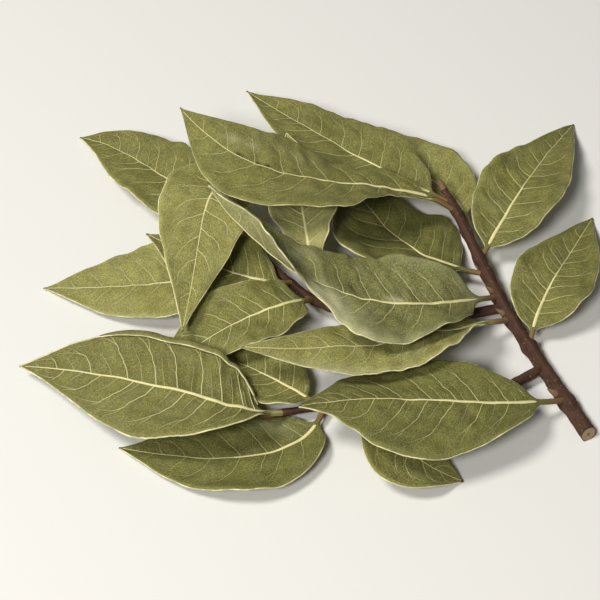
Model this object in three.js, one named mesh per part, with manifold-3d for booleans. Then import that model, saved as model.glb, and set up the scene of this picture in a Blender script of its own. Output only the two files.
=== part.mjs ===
// A dried bay laurel sprig lying on a table: one branched twig and nineteen leathery leaves.
// Millimetres, +Z up. The table is z = 0 and the origin is under the middle of the whole sprig.
import * as THREE from 'three';
import { mergeVertices } from 'three/addons/utils/BufferGeometryUtils.js';
import loadManifold from 'manifold-3d';

// The plan below is drawn about the middle of the pile, then moved to centre its box on the origin.
const PLAN_SHIFT = [-4.9, -12];

// Blades and their stalks
const BLADE_THICKNESS = 0.7;
const STALK_RADIUS = 0.8;
const STALK_STEPS = 3;
const STALK_ARC = 75;               // degrees of the round stalk on each side of its top line
const TIP_HALF_WIDTH = 0.45;
const RIB_HEIGHT = 0.9;             // midrib below the blade at the stalk, thinning to the tip
const RIB_TIP_HEIGHT = 0.1;
const RIB_HALF_WIDTH = 0.9;
const WAVE_HEIGHT = 1.0;
const COLUMNS = [-1, -0.66, -0.3, 0, 0.3, 0.66, 1];
const SLOPE_STEP = 0.001;
const SIDE_STEP = 0.01;

// Twig
const TWIG_SIDES = 10;
const TWIG_STEP = 2.6;
const NODE_SWELL = 0.32;            // how far a leaf node swells the twig, as a share of its radius
const NODE_LENGTH = 1.8;
const CUT_SLANT = 0.7;
const LEAF_GAP = 0.3;               // clear gap between a leaf's stalk and the twig
const BUD_SIDES = 6;
const BUD_LENGTH = 1.9;             // both as a share of the twig's radius at the leaf
const BUD_WIDTH = 0.42;
const BUD_LEAN = 0.9;               // 0 points along the leaf, large values along the twig

const TWIG_COLOUR = 0x4a2a1c;
const TWIG_ROUGHNESS = 0.8;
const LEAF_ROUGHNESS = 0.62;

// Each shoot is a list of [x, y, z, radius] along its middle, from its thick end to its bud.
const MAIN_SHOOT = [
  [77.5, -41, 1.9, 2.3],
  [68, -21.5, 2.5, 2],
  [58.5, -2, 4, 1.8],
  [52.5, 13, 6, 1.6],
  [47, 27, 9, 1.4],
  [42, 37.5, 12, 1.1],
];
const UPPER_SIDE_SHOOT = [
  [58, 0.5, 4, 1.5],
  [42, -2.5, 3.5, 1.4],
  [25, -4, 4, 1.3],
  [10, -1.5, 5.5, 1.2],
  [0, 5, 6, 1.15],
  [-10.5, 17, 6.5, 1],
  [-16.5, 30, 7, 0.8],
];
const LOWER_SIDE_SHOOT = [
  [67.5, -19.5, 3, 1.4],
  [52, -28, 3, 1.3],
  [32.5, -30.5, 3, 1.2],
  [13.5, -31, 3.5, 1.1],
  [0, -34.5, 4, 1],
  [-7, -36, 4, 0.8],
];
const SHOOTS = [MAIN_SHOOT, UPPER_SIDE_SHOOT, LOWER_SIDE_SHOOT];

// Leaves with a bud in the angle above the stalk.
const BUDDED_LEAVES = [1, 2, 3, 4, 5, 6, 7, 8, 9, 10, 11, 12, 13, 14, 15, 16, 17, 18, 19];

// Each leaf: the four control points of its midrib from the twig to the tip, its width, and how
// it turns about the midrib, folds along it and curls across it, in degrees at base, middle, tip.
const LEAF_DEFAULTS = {
  stalk: 0.1,                       // share of the midrib that is stalk
  belly: 0.92,                      // above 1 the widest place moves toward the tip
  roll: [0, 0, 0],
  fold: [15, 8, 8],
  curl: [5, 5, 5],
  waves: 2.3,
  wavePhase: 0,
  farPhase: 2,
  steps: 13,
  ribOnTop: false,
  colour: 0x7b7a48,
  // How each half differs from the even blade: its width as a share, and degrees it is lifted by,
  // as [share of the blade, value] rows. The near half is the left one, seen from stalk to tip.
  nearWidth: [[0, 1], [1, 1]],
  farWidth: [[0, 1], [1, 1]],
  nearLift: [[0, 0], [1, 0]],
  farLift: [[0, 0], [1, 0]],
};
const LEAVES = [
  {
    name: 'leaf_01',
    midrib: [[72.5, -30.5, 3], [50.5, -43.5, 17], [22.5, -34, 12], [-0.5, -41, 15]],
    width: 32, belly: 1.05, roll: [-5, 6, 30], fold: [25, -4, 4], curl: [15, -8, 0],
    waves: 1.8, wavePhase: 1, steps: 17, colour: 0x706e3c,
    nearWidth: [[0, 1], [0.6, 1.1], [0.7, 1.15], [0.8, 0.92], [0.9, 0.6], [1, 0.8]],
    farWidth: [[0, 1], [0.6, 0.95], [0.8, 1.3], [0.9, 1], [1, 1]],
  },
  {
    name: 'leaf_02',
    midrib: [[64, -12.5, 3.5], [65.5, -1, 9], [73.5, 9, 10], [86.5, 36.5, 0.5]],
    width: 23,
  },
  {
    name: 'leaf_03',
    midrib: [[59.5, -4, 4], [38, -15, 16], [24.5, -22.5, 11.5], [-16.5, -24, 18.5]],
    width: 27, belly: 0.75, roll: [36, 26, -30], fold: [14, -3, 9], curl: [12, -8, -8],
    waves: 1.5, farPhase: 0.5, steps: 17, colour: 0x98945c,
    nearWidth: [[0, 0.55], [0.15, 0.6], [0.3, 0.84], [0.5, 0.88], [0.7, 1], [1, 1]],
  },
  {
    name: 'leaf_04',
    midrib: [[56, 3.5, 5], [29, -18.5, 28.5], [3.5, -13, 11.5], [-25.5, 20.5, 33.5]],
    width: 33, stalk: 0.055, belly: 0.86, roll: [-35, 17, 38], fold: [24, 3, 78], curl: [15, 1, 15],
    waves: 1.2, wavePhase: 2.1, farPhase: 3.8, steps: 20, colour: 0x787745,
    nearWidth: [[0, 0.5], [0.1, 0.74], [0.2, 0.86], [0.4, 0.9], [0.45, 0.84], [0.5, 0.62], [0.56, 0.46],
      [0.62, 0.42], [0.71, 0.9], [0.8, 0.97], [1, 1]],
    farWidth: [[0, 0.6], [0.05, 0.85], [0.1, 1.03], [0.2, 1.08], [0.6, 1.1], [0.7, 1.08], [1, 1]],
    nearLift: [[0, 8], [0.14, 20], [0.21, 25], [0.33, 3], [0.43, 1], [0.5, -4], [0.6, -4], [0.7, 12],
      [0.81, 13], [0.9, 24], [1, 0]],
    farLift: [[0, 0], [0.65, 2], [0.78, -17], [0.85, -18], [0.92, 12], [1, 0]],
  },
  {
    name: 'leaf_05',
    midrib: [[53, 11, 6], [43.5, 12.5, 6], [25, 19, 5.5], [13, 53, 3.5]],
    width: 27, stalk: 0.2, roll: [10, 14, 0],
    nearWidth: [[0, 1], [0.3, 1.1], [0.6, 1.6], [1, 1.3]],
    farWidth: [[0, 1.6], [0.2, 1.55], [0.45, 1.3], [0.7, 1.1], [1, 1]],
    farLift: [[0, -20], [0.35, -12], [0.6, -3], [1, 0]],
  },
  {
    name: 'leaf_06',
    midrib: [[51.5, 16, 6], [57.5, 26, 9.5], [67, 43, 15], [84.5, 74.5, 0.5]],
    width: 25, roll: [0, -5, 1], colour: 0x85834d,
  },
  {
    name: 'leaf_07',
    midrib: [[48.5, 25, 8], [48.5, 48, 4.5], [30, 51, 6.5], [8, 67.5, 8]],
    width: 27, roll: [0, 12, 0], colour: 0x9f995c,
  },
  {
    name: 'leaf_08',
    midrib: [[43.5, 33.5, 11], [30, 37.5, 15.5], [9, 53, 14.5], [-16.5, 84, 5.5]],
    width: 27, roll: [0, 8, 0], steps: 15,
  },
  {
    name: 'leaf_09',
    midrib: [[44.5, 31, 10.5], [25.5, 36.5, 25], [-7.5, 12, 29], [-35, 58.5, 24.5]],
    width: 30, belly: 1.3, roll: [-5, 16, -40], fold: [5, 0, 3], curl: [-5, 0, -10],
    waves: 0.8, wavePhase: -1.2, steps: 18, colour: 0x7d7a48,
    nearWidth: [[0, 0.6], [0.1, 0.4], [0.2, 0.42], [0.3, 0.72], [0.4, 0.98], [0.7, 1.06], [1, 1]],
    farWidth: [[0, 1.2], [0.1, 1.45], [0.17, 1.4], [0.3, 0.72], [0.4, 0.93], [0.5, 1.04], [1, 1.05]],
  },
  {
    name: 'leaf_10',
    midrib: [[32.5, -30.5, 3], [22.5, -43, 7], [26, -52.5, 7], [43, -55, 0.5]],
    width: 24, stalk: 0.12,
  },
  {
    name: 'leaf_11',
    midrib: [[4.2, -33.2, 4.6], [-3, -28.5, 7.5], [-12, -22.5, 6.5], [-26.5, -13.5, 3]],
    width: 24, stalk: 0.08,
    nearWidth: [[0, 1], [0.25, 0.8], [1, 0.7]], farWidth: [[0, 0.7], [0.3, 0.85], [1, 1]],
  },
  {
    name: 'leaf_12',
    midrib: [[6.5, -32.5, 3.5], [3.5, -48, -1], [-21, -53, 3.5], [-48.5, -44.5, 0.5]],
    width: 27, roll: [0, 6, -1], colour: 0x6c6a3a,
  },
  {
    name: 'leaf_13',
    midrib: [[-4.5, -35.5, 4], [-17, -45.5, 16.5], [-36, -30, 14.5], [-77, -20, 4]],
    width: 34, belly: 1, roll: [28, -2, -20], fold: [25, 0, 12], curl: [15, 0, 18],
    waves: 1.7, wavePhase: 1.7, steps: 18, ribOnTop: true, colour: 0x8f8a54,
    nearWidth: [[0, 0.8], [0.2, 0.72], [0.35, 0.8], [0.6, 1], [1, 1]],
    farWidth: [[0, 1], [0.15, 1.13], [0.35, 0.94], [0.55, 0.94], [0.75, 1.1], [1, 1]],
  },
  {
    name: 'leaf_14',
    midrib: [[8.5, -2.5, 7], [1.5, 3, 16], [2.5, 22, 18.5], [-4, 55, 17.5]],
    width: 24, stalk: 0.24, ribOnTop: true, colour: 0x9e995d,
    nearWidth: [[0, 0.35], [0.25, 0.4], [0.37, 0.55], [0.54, 0.84], [0.75, 1], [1, 1]],
    farWidth: [[0, 0.35], [0.25, 0.4], [0.37, 0.55], [0.54, 0.84], [0.75, 1], [1, 1]],
  },
  {
    name: 'leaf_15',
    midrib: [[4, 1.5, 6], [-4, -7.5, 17.5], [-19, -10, 12.5], [-38, -22.5, 6]],
    width: 27, roll: [0, -4, 0], colour: 0xa19d60,
    nearWidth: [[0, 1], [0.12, 0.88], [0.25, 0.72], [0.6, 0.68], [1, 0.8]],
    farWidth: [[0, 1.5], [0.1, 1.15], [0.3, 0.74], [0.42, 0.74], [0.6, 1], [1, 1.1]],
  },
  {
    name: 'leaf_16',
    midrib: [[-2.5, 7, 7], [-10.5, 3.5, 10.5], [-24, 9.5, 9.5], [-44, 22, 10.5]],
    width: 24,
  },
  {
    name: 'leaf_17',
    midrib: [[-11, 17.5, 7], [-22.5, 9.5, 6.5], [-45.5, 5.5, 5], [-73.5, 10, 0.5]],
    width: 26, roll: [0, -6, 0], colour: 0x969054,
  },
  {
    name: 'leaf_18',
    midrib: [[-14.5, 22.5, 7], [-28, 47.5, 25.5], [-26, 21, 20], [-32, -15.5, 14]],
    width: 27, stalk: 0.14, belly: 0.85, roll: [0, 0, 5], fold: [12, 4, 12], curl: [3, 3, 7],
    waves: 1.8, wavePhase: 2.3, steps: 16, colour: 0x938f57,
    nearWidth: [[0, 0.86], [0.5, 0.87], [0.6, 1], [0.7, 0.94], [0.85, 0.88], [1, 0.95]],
  },
  {
    name: 'leaf_19',
    midrib: [[-15, 26, 7], [-30, 33, 7], [-45, 58, 7], [-67.5, 69, 0.5]],
    width: 26,
  },
];

const UP = new THREE.Vector3(0, 0, 1);

// Numbers

function smooth(value) {
  const x = Math.min(Math.max(value, 0), 1);
  return x * x * (3 - 2 * x);
}

// The value at u of the parabola through three values at 0, 0.5 and 1.
function throughThree([base, middle, tip], u) {
  return base * (1 - u) * (1 - 2 * u) + middle * 4 * u * (1 - u) + tip * u * (2 * u - 1);
}

// The value at u of rows of [place, value], going smoothly from each one to the next.
function eased(rows, u) {
  let total = rows[0][1];
  for (let i = 0; i + 1 < rows.length; i += 1) {
    const [start, before] = rows[i];
    const [end, after] = rows[i + 1];
    total += (after - before) * smooth((u - start) / (end - start));
  }
  return total;
}

function toRadians(degrees) {
  return THREE.MathUtils.degToRad(degrees);
}

function placed([x, y, z]) {
  return new THREE.Vector3(x + PLAN_SHIFT[0], y + PLAN_SHIFT[1], z);
}

// Leaves

function halfWidth(leaf, u, distance) {
  const blunt = 0.8 + 0.25 * u;
  const inside = Math.min(Math.max(u, 1e-6), 1 - 1e-6);
  const share = eased(distance > 0 ? leaf.nearWidth : leaf.farWidth, u);
  return leaf.width / 2 * Math.sin(Math.PI * inside ** leaf.belly) ** blunt * share;
}

// The two directions of a blade's cross-section: across the midrib, and out of its upper face.
function crossFrame(leaf, t, u) {
  const along = leaf.curve.getTangent(t);
  const side = new THREE.Vector3().crossVectors(UP, along).normalize();
  const roll = toRadians(throughThree(leaf.roll, u));
  side.applyAxisAngle(along, roll);
  return { across: side, outward: new THREE.Vector3().crossVectors(along, side) };
}

// A point of the blade's middle surface, at t along the midrib and a distance to its side.
function bladePoint(leaf, t, distance) {
  const u = Math.max(0, (t - leaf.stalk) / (1 - leaf.stalk));
  const { across, outward } = crossFrame(leaf, t, u);
  const share = Math.abs(distance) / Math.max(halfWidth(leaf, u, distance), 0.3);
  const q = Math.min(share, 1.5);
  const opened = smooth(u / 0.12);
  const fold = toRadians(throughThree(leaf.fold, u)) * opened;
  const curl = toRadians(throughThree(leaf.curl, u)) * opened;
  const lift = toRadians(eased(distance > 0 ? leaf.nearLift : leaf.farLift, u)) * opened;
  const angle = fold + curl * q / 2 + lift;
  const phase = leaf.wavePhase + (distance < 0 ? leaf.farPhase : 0);
  const reach = Math.sin(Math.PI * u) ** 0.6 || 0;
  const wave = WAVE_HEIGHT * reach * q ** 1.7 * Math.sin(2 * Math.PI * leaf.waves * u + phase);
  const point = leaf.curve.getPoint(t);
  point.addScaledVector(across, distance * Math.cos(angle));
  point.addScaledVector(outward, Math.abs(distance) * Math.sin(angle) + wave);
  return point;
}

function bladeNormal(leaf, t, distance) {
  const ahead = bladePoint(leaf, Math.min(t + SLOPE_STEP, 1), distance);
  const behind = bladePoint(leaf, Math.max(t - SLOPE_STEP, 0), distance);
  const left = bladePoint(leaf, t, distance + SIDE_STEP);
  const right = bladePoint(leaf, t, distance - SIDE_STEP);
  return new THREE.Vector3().crossVectors(ahead.sub(behind), left.sub(right)).normalize();
}

// One cross-section: the upper face from side to side, then the lower face back again.
function bladeRing(leaf, t) {
  const u = Math.max(0, (t - leaf.stalk) / (1 - leaf.stalk));
  const opened = smooth(u / 0.1);
  const { outward } = crossFrame(leaf, t, u);
  const upper = [];
  const lower = [];
  for (const column of COLUMNS) {
    const reach = Math.max(halfWidth(leaf, u, column), TIP_HALF_WIDTH);
    const arc = toRadians(STALK_ARC * column);
    const distance = (1 - opened) * STALK_RADIUS * Math.sin(arc) + opened * reach * column;
    const rib = RIB_HEIGHT * (1 - u) + RIB_TIP_HEIGHT;
    const ribHere = rib * Math.exp(-((distance / RIB_HALF_WIDTH) ** 2));
    const round = (1 - opened) * STALK_RADIUS * Math.cos(arc);
    const above = round + opened * (BLADE_THICKNESS / 2 + (leaf.ribOnTop ? ribHere : 0));
    const below = round + opened * (BLADE_THICKNESS / 2 + (leaf.ribOnTop ? 0 : ribHere));
    const middle = bladePoint(leaf, t, distance);
    const normal = bladeNormal(leaf, t, distance);
    // Inside a sharp fold the upper face is lifted straight out, so its two sides never cross.
    const lean = Math.max(outward.dot(normal), 0.3);
    upper.push(middle.clone().addScaledVector(outward, above / lean));
    lower.push(middle.clone().addScaledVector(normal, -below));
  }
  return [...upper.reverse(), ...lower];
}

function stations(leaf) {
  const list = [];
  for (let i = 0; i < STALK_STEPS; i += 1) {
    list.push(leaf.stalk * i / STALK_STEPS);
  }
  for (let i = 0; i <= leaf.steps; i += 1) {
    list.push(leaf.stalk + (1 - leaf.stalk) * i / leaf.steps);
  }
  return list;
}

function leafSolid(leaf) {
  const rings = stations(leaf).map((t) => bladeRing(leaf, t));
  const size = rings[0].length;
  const columns = COLUMNS.length;
  const triangles = [];
  for (let i = 0; i + 1 < rings.length; i += 1) {
    for (let j = 0; j < size; j += 1) {
      const a = i * size + j;
      const b = i * size + (j + 1) % size;
      const c = a + size;
      const d = b + size;
      // Both faces are split along the same diagonal, so a thin waved blade never crosses itself.
      if (j < columns) {
        triangles.push([a, b, d], [a, d, c]);
      } else {
        triangles.push([a, b, c], [b, d, c]);
      }
    }
  }
  const lastRing = (rings.length - 1) * size;
  for (let j = 0; j + 1 < columns; j += 1) {
    const across = [j, j + 1, size - 1 - j, size - 2 - j];
    const [a, b, c, d] = across;
    triangles.push([a, c, b], [b, c, d]);
    const [e, f, g, h] = across.map((index) => index + lastRing);
    triangles.push([e, f, g], [f, h, g]);
  }
  return solidFrom(rings.flat(), triangles);
}

// Twig

// A closed tube through rings of points, with a fan over each end.
function tubeSolid(rings) {
  const sides = rings[0].length;
  const triangles = [];
  for (let i = 0; i + 1 < rings.length; i += 1) {
    for (let j = 0; j < sides; j += 1) {
      const a = i * sides + j;
      const b = i * sides + (j + 1) % sides;
      triangles.push([a, b, b + sides], [a, b + sides, a + sides]);
    }
  }
  const last = (rings.length - 1) * sides;
  for (let j = 1; j + 1 < sides; j += 1) {
    triangles.push([0, j + 1, j]);
    triangles.push([last, last + j, last + j + 1]);
  }
  return solidFrom(rings.flat(), triangles);
}

function ringAbout(middle, along, radius, sides, slant = 0) {
  const side = new THREE.Vector3().crossVectors(UP, along).normalize();
  const top = new THREE.Vector3().crossVectors(along, side);
  const ring = [];
  for (let j = 0; j < sides; j += 1) {
    const turn = 2 * Math.PI * j / sides;
    const point = middle.clone();
    point.addScaledVector(side, radius * Math.cos(turn));
    point.addScaledVector(top, radius * Math.sin(turn));
    point.addScaledVector(along, slant * Math.sin(turn));
    ring.push(point);
  }
  return ring;
}

function shootCurve(shoot) {
  return new THREE.CatmullRomCurve3(shoot.map(placed), false, 'catmullrom', 0.5);
}

// The radius at t along a shoot, swollen where a leaf stands and scaled out by an offset.
function shootRadius(shoot, t, point, offset) {
  const position = t * (shoot.length - 1);
  const index = Math.min(Math.floor(position), shoot.length - 2);
  const part = position - index;
  const plain = shoot[index][3] * (1 - part) + shoot[index + 1][3] * part;
  let swell = 0;
  for (const leaf of LEAVES) {
    const distance = point.distanceTo(placed(leaf.midrib[0]));
    swell = Math.max(swell, Math.exp(-((distance / NODE_LENGTH) ** 2)));
  }
  return plain * (1 + NODE_SWELL * swell) + offset;
}

function shootSolid(shoot, offset) {
  const curve = shootCurve(shoot);
  const steps = Math.round(curve.getLength() / TWIG_STEP);
  const rings = [];
  for (let i = 0; i <= steps; i += 1) {
    const t = i / steps;
    const point = curve.getPoint(t);
    const radius = shootRadius(shoot, t, point, offset);
    const slant = i === 0 ? CUT_SLANT : 0;
    rings.push(ringAbout(point, curve.getTangent(t), radius, TWIG_SIDES, slant));
  }
  return tubeSolid(rings);
}

// A pointed bud, sunk into the twig at its foot.
function budSolid(foot, direction, length, radius) {
  const along = direction.clone().normalize();
  const profile = [[0, 0.75], [0.25, 1], [0.5, 0.92], [0.75, 0.6], [1, 0.12]];
  const rings = profile.map(([share, width]) => {
    const middle = foot.clone().addScaledVector(along, length * share);
    return ringAbout(middle, along, radius * width, BUD_SIDES);
  });
  return tubeSolid(rings);
}

// The place on the twig that is nearest to a leaf's foot.
function nodeOf(leaf) {
  const foot = placed(leaf.midrib[0]);
  let nearest = { distance: Infinity };
  for (const shoot of SHOOTS) {
    const curve = shootCurve(shoot);
    for (let i = 0; i <= 100; i += 1) {
      const t = i / 100;
      const point = curve.getPoint(t);
      const distance = point.distanceTo(foot);
      if (distance < nearest.distance) {
        const radius = shootRadius(shoot, t, point, 0);
        nearest = { distance, point, radius, along: curve.getTangent(t) };
      }
    }
  }
  return nearest;
}

// The bud in the angle between a leaf's stalk and the twig beyond it, sized by the twig there.
function axilBud(leaf) {
  const { point, radius, along } = nodeOf(leaf);
  const alongLeaf = placed(leaf.midrib[1]).sub(placed(leaf.midrib[0])).normalize();
  const foot = point.clone().addScaledVector(along, radius * 0.5);
  const direction = along.clone().multiplyScalar(BUD_LEAN).add(alongLeaf);
  return budSolid(foot, direction, radius * BUD_LENGTH, radius * BUD_WIDTH);
}

function endBud(shoot) {
  const curve = shootCurve(shoot);
  return budSolid(curve.getPoint(0.985), curve.getTangent(1), 5, shoot.at(-1)[3] * 1.1);
}

function twigSolid() {
  const wood = SHOOTS.map((shoot) => shootSolid(shoot, 0));
  const buds = BUDDED_LEAVES.map((number) => axilBud(LEAVES[number - 1]));
  const ends = SHOOTS.map(endBud);
  const whole = [...wood, ...buds, ...ends].reduce((sum, piece) => sum.add(piece));
  // The table side of the cut end is worn to a flat.
  return whole.subtract(boxBelowTable());
}

function boxBelowTable() {
  const box = new THREE.BoxGeometry(400, 400, 20);
  box.translate(0, 0, -10);
  return solidFromGeometry(box);
}

// Solids and meshes

const wasm = await loadManifold();
wasm.setup();

function solidFrom(points, triangles) {
  const vertProperties = new Float32Array(points.flatMap((point) => point.toArray()));
  const triVerts = new Uint32Array(triangles.flat());
  return new wasm.Manifold(new wasm.Mesh({ numProp: 3, vertProperties, triVerts }));
}

function solidFromGeometry(geometry) {
  geometry.deleteAttribute('normal');
  geometry.deleteAttribute('uv');
  const merged = mergeVertices(geometry);
  return new wasm.Manifold(new wasm.Mesh({
    numProp: 3,
    vertProperties: new Float32Array(merged.attributes.position.array),
    triVerts: new Uint32Array(merged.index.array),
  }));
}

function meshOf(solid, name, colour, roughness) {
  const { vertProperties, triVerts } = solid.getMesh();
  const geometry = new THREE.BufferGeometry();
  geometry.setAttribute('position', new THREE.BufferAttribute(vertProperties, 3));
  geometry.setIndex(new THREE.BufferAttribute(triVerts, 1));
  geometry.computeVertexNormals();
  const material = new THREE.MeshStandardMaterial({ color: colour, roughness, metalness: 0 });
  const mesh = new THREE.Mesh(geometry, material);
  mesh.name = name;
  return mesh;
}

const sprig = new THREE.Group();
sprig.add(meshOf(twigSolid(), 'twig', TWIG_COLOUR, TWIG_ROUGHNESS));

const clearance = SHOOTS.map((shoot) => shootSolid(shoot, LEAF_GAP)).reduce((sum, piece) => sum.add(piece));
for (const row of LEAVES) {
  const leaf = { ...LEAF_DEFAULTS, ...row };
  leaf.curve = new THREE.CubicBezierCurve3(...leaf.midrib.map(placed));
  const solid = leafSolid(leaf).subtract(clearance);
  sprig.add(meshOf(solid, leaf.name, leaf.colour, LEAF_ROUGHNESS));
}

export default sprig;
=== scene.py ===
# A dried bay laurel sprig lying on a table: one branched twig, nineteen leathery leaves with their
# veins and cream edges, and the small buds in the angles above the stalks. Plan values are in
# millimetres, as a maker would measure them, and every mesh is built in metres.
import math

import bpy
import numpy as np
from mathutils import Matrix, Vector


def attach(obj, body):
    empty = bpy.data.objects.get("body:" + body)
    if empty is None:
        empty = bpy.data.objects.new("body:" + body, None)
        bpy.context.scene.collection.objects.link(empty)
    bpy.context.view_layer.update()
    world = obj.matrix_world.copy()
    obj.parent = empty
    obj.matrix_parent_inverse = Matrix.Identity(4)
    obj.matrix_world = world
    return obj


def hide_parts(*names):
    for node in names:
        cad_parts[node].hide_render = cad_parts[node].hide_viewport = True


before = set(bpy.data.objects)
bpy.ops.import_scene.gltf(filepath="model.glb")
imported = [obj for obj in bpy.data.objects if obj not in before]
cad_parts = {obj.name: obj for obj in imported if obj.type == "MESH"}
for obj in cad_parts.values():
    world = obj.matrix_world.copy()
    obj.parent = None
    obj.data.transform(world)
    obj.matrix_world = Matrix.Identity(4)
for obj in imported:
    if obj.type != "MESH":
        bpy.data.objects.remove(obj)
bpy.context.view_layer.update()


# ---------------------------------------------------------------------------------------------
# Table, light and camera. The sprig lies on a plain pale table under a soft window light from the
# left and a soft fill from the front left, seen from well above its near side.

MM = 0.001
plan_shift = np.array([-4.9, -12.0, 0.0])


def in_room(name, data):
    """A new object of the scene that carries the data."""
    made = bpy.data.objects.new(name, data)
    bpy.context.scene.collection.objects.link(made)
    return made


def surface(name, roughness=0.5, gloss=0.5):
    """A new finish with its node tree and its shader."""
    made = bpy.data.materials.new(name)
    made.use_nodes = True
    shader = made.node_tree.nodes["Principled BSDF"]
    shader.inputs["Roughness"].default_value = roughness
    shader.inputs["Specular IOR Level"].default_value = gloss
    return made, made.node_tree, shader


table_mesh = bpy.data.meshes.new("table_top")
table_mesh.from_pydata(
    [(-2.0, -2.0, 0.0), (2.0, -2.0, 0.0), (2.0, 2.0, 0.0), (-2.0, 2.0, 0.0)], [], [(0, 1, 2, 3)]
)
table_top = in_room("table_top", table_mesh)
table_paint, _, table_shader = surface("pale table", 0.7)
table_shader.inputs["Base Color"].default_value = (0.80, 0.79, 0.76, 1.0)
table_mesh.materials.append(table_paint)


sprig_middle = Vector((0.0, 0.0, 0.01))


def soft_light(name, place, size, power, colour):
    """A round soft light that points at the middle of the sprig."""
    lamp = bpy.data.lights.new(name, "AREA")
    lamp.shape = "DISK"
    lamp.size = size
    lamp.energy = power
    lamp.color = colour
    holder = in_room(name, lamp)
    holder.location = place
    direction = sprig_middle - holder.location
    holder.rotation_euler = direction.to_track_quat("-Z", "Y").to_euler()


soft_light("window light", (-0.58, -0.05, 1.0), 0.34, 8.8, (1.0, 0.98, 0.93))
soft_light("front fill", (-0.38, -0.72, 0.93), 0.30, 8.0, (1.0, 0.99, 0.96))

room = bpy.data.worlds.new("room")
room.use_nodes = True
room.node_tree.nodes["Background"].inputs["Color"].default_value = (1.0, 0.99, 0.97, 1.0)
room.node_tree.nodes["Background"].inputs["Strength"].default_value = 0.12
bpy.context.scene.world = room
bpy.context.scene.view_settings.view_transform = "Standard"

view_angle = 52.0
view_distance = 500.0
view_centre = np.array([0.0, 0.0, 8.0]) + plan_shift
view_width_at_centre = 168.0
lens = bpy.data.cameras.new("view")
lens.sensor_width = 36.0
lens.lens = 36.0 * view_distance / view_width_at_centre
lens.clip_start = 0.01
camera = in_room("view", lens)
back = np.array([0.0, -math.cos(math.radians(view_angle)), math.sin(math.radians(view_angle))])
camera.location = Vector((view_centre + back * view_distance) * MM)
camera.rotation_euler = (math.radians(90.0 - view_angle), 0.0, 0.0)
bpy.context.scene.camera = camera


# ---------------------------------------------------------------------------------------------
# Leaf blades. Each leaf is one leathery piece: a round stalk that opens into a lance-shaped
# blade, dried into its own folds, curls and waves, with the cloth-fine grain of a dry leaf.

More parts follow.
